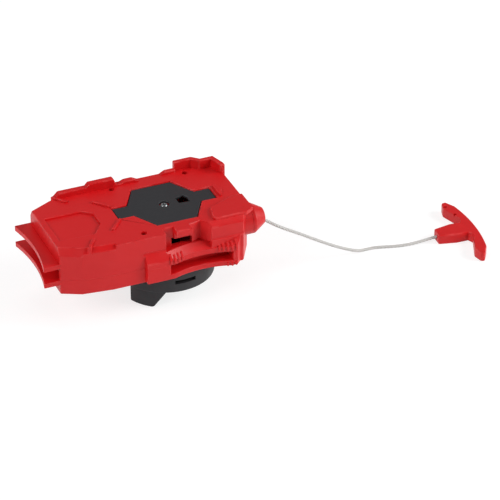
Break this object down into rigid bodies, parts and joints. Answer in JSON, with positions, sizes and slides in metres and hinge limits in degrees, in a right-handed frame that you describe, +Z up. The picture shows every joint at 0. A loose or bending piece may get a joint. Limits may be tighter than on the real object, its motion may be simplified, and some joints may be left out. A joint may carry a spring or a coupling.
{
  "type": "spinning top launcher",
  "caption": "Hand-held string-pull launcher: a flat red case with accessory ports, a geared spinner with claws under it, and a T-handle on its drawn string.",
  "frame": {"origin": "on the spinner axis, on the surface that the claws stand on", "axes": "+X towards the string outlet and the handle, +Y to the far side, +Z up along the spinner axis"},
  "size_m": [0.2087, 0.0675, 0.0458],
  "materials": {
    "red_shell": "moulded ABS, satin",
    "grey_plastic": "moulded ABS, fine texture",
    "gear_plastic": "moulded acetal, black",
    "steel": "bright zinc plate",
    "bronze": "sintered bronze",
    "string": "twisted nylon"
  },
  "bodies": {
    "case": {"upper_case": "red_shell", "lower_case": "red_shell", "top_cover": "grey_plastic", "outlet_nozzle": "red_shell", "string_bush": "steel", "case_screws": "steel", "reel_axle": "steel", "return_spring": "steel", "inner_string": "string", "idler_pin": "steel", "upper_bush": "bronze", "lower_bush": "bronze", "thrust_washer": "bronze", "string_drop": "string"},
    "reel": {"string_reel": "gear_plastic", "reel_cap": "gear_plastic", "string_winding": "string"},
    "idler": {"idler_gear": "gear_plastic"},
    "spinner": {"output_shaft": "steel", "output_pinion": "gear_plastic", "shaft_screw": "steel", "spinner_disc": "grey_plastic", "claw_carrier": "grey_plastic", "spinner_screw": "steel"},
    "handle": {"pull_handle": "red_shell", "string_knot": "string", "handle_plug": "red_shell", "string_lay": "string"}
  },
  "joints": [
    {"name": "reel_spin", "type": "hinge", "parent": "case", "child": "reel", "pos_m": [-0.032, 0, 0.03], "axis": [0, 0, 1], "range_deg": [-366.6, 0]},
    {"name": "idler_spin", "type": "hinge", "parent": "case", "child": "idler", "pos_m": [-0.012, 0, 0.0243], "axis": [0, 0, 1], "range_deg": [0, 855.5]},
    {"name": "spinner_spin", "type": "hinge", "parent": "case", "child": "spinner", "pos_m": [0, 0, 0.0243], "axis": [0, 0, 1], "range_deg": [-855.5, 0]},
    {"name": "handle_slide", "type": "slide", "parent": "case", "child": "handle", "axis": [0.9404, -0.0331, -0.3384], "range_m": [-0.0896, 0], "deforming": ["string_drop", "string_lay"]}
  ],
  "couplings": [
    {"joint": "idler_spin", "follows": "reel_spin", "ratio": -2.3333},
    {"joint": "spinner_spin", "follows": "reel_spin", "ratio": 2.3333},
    {"joint": "handle_slide", "follows": "reel_spin", "m_per_rad": 0.014}
  ]
}
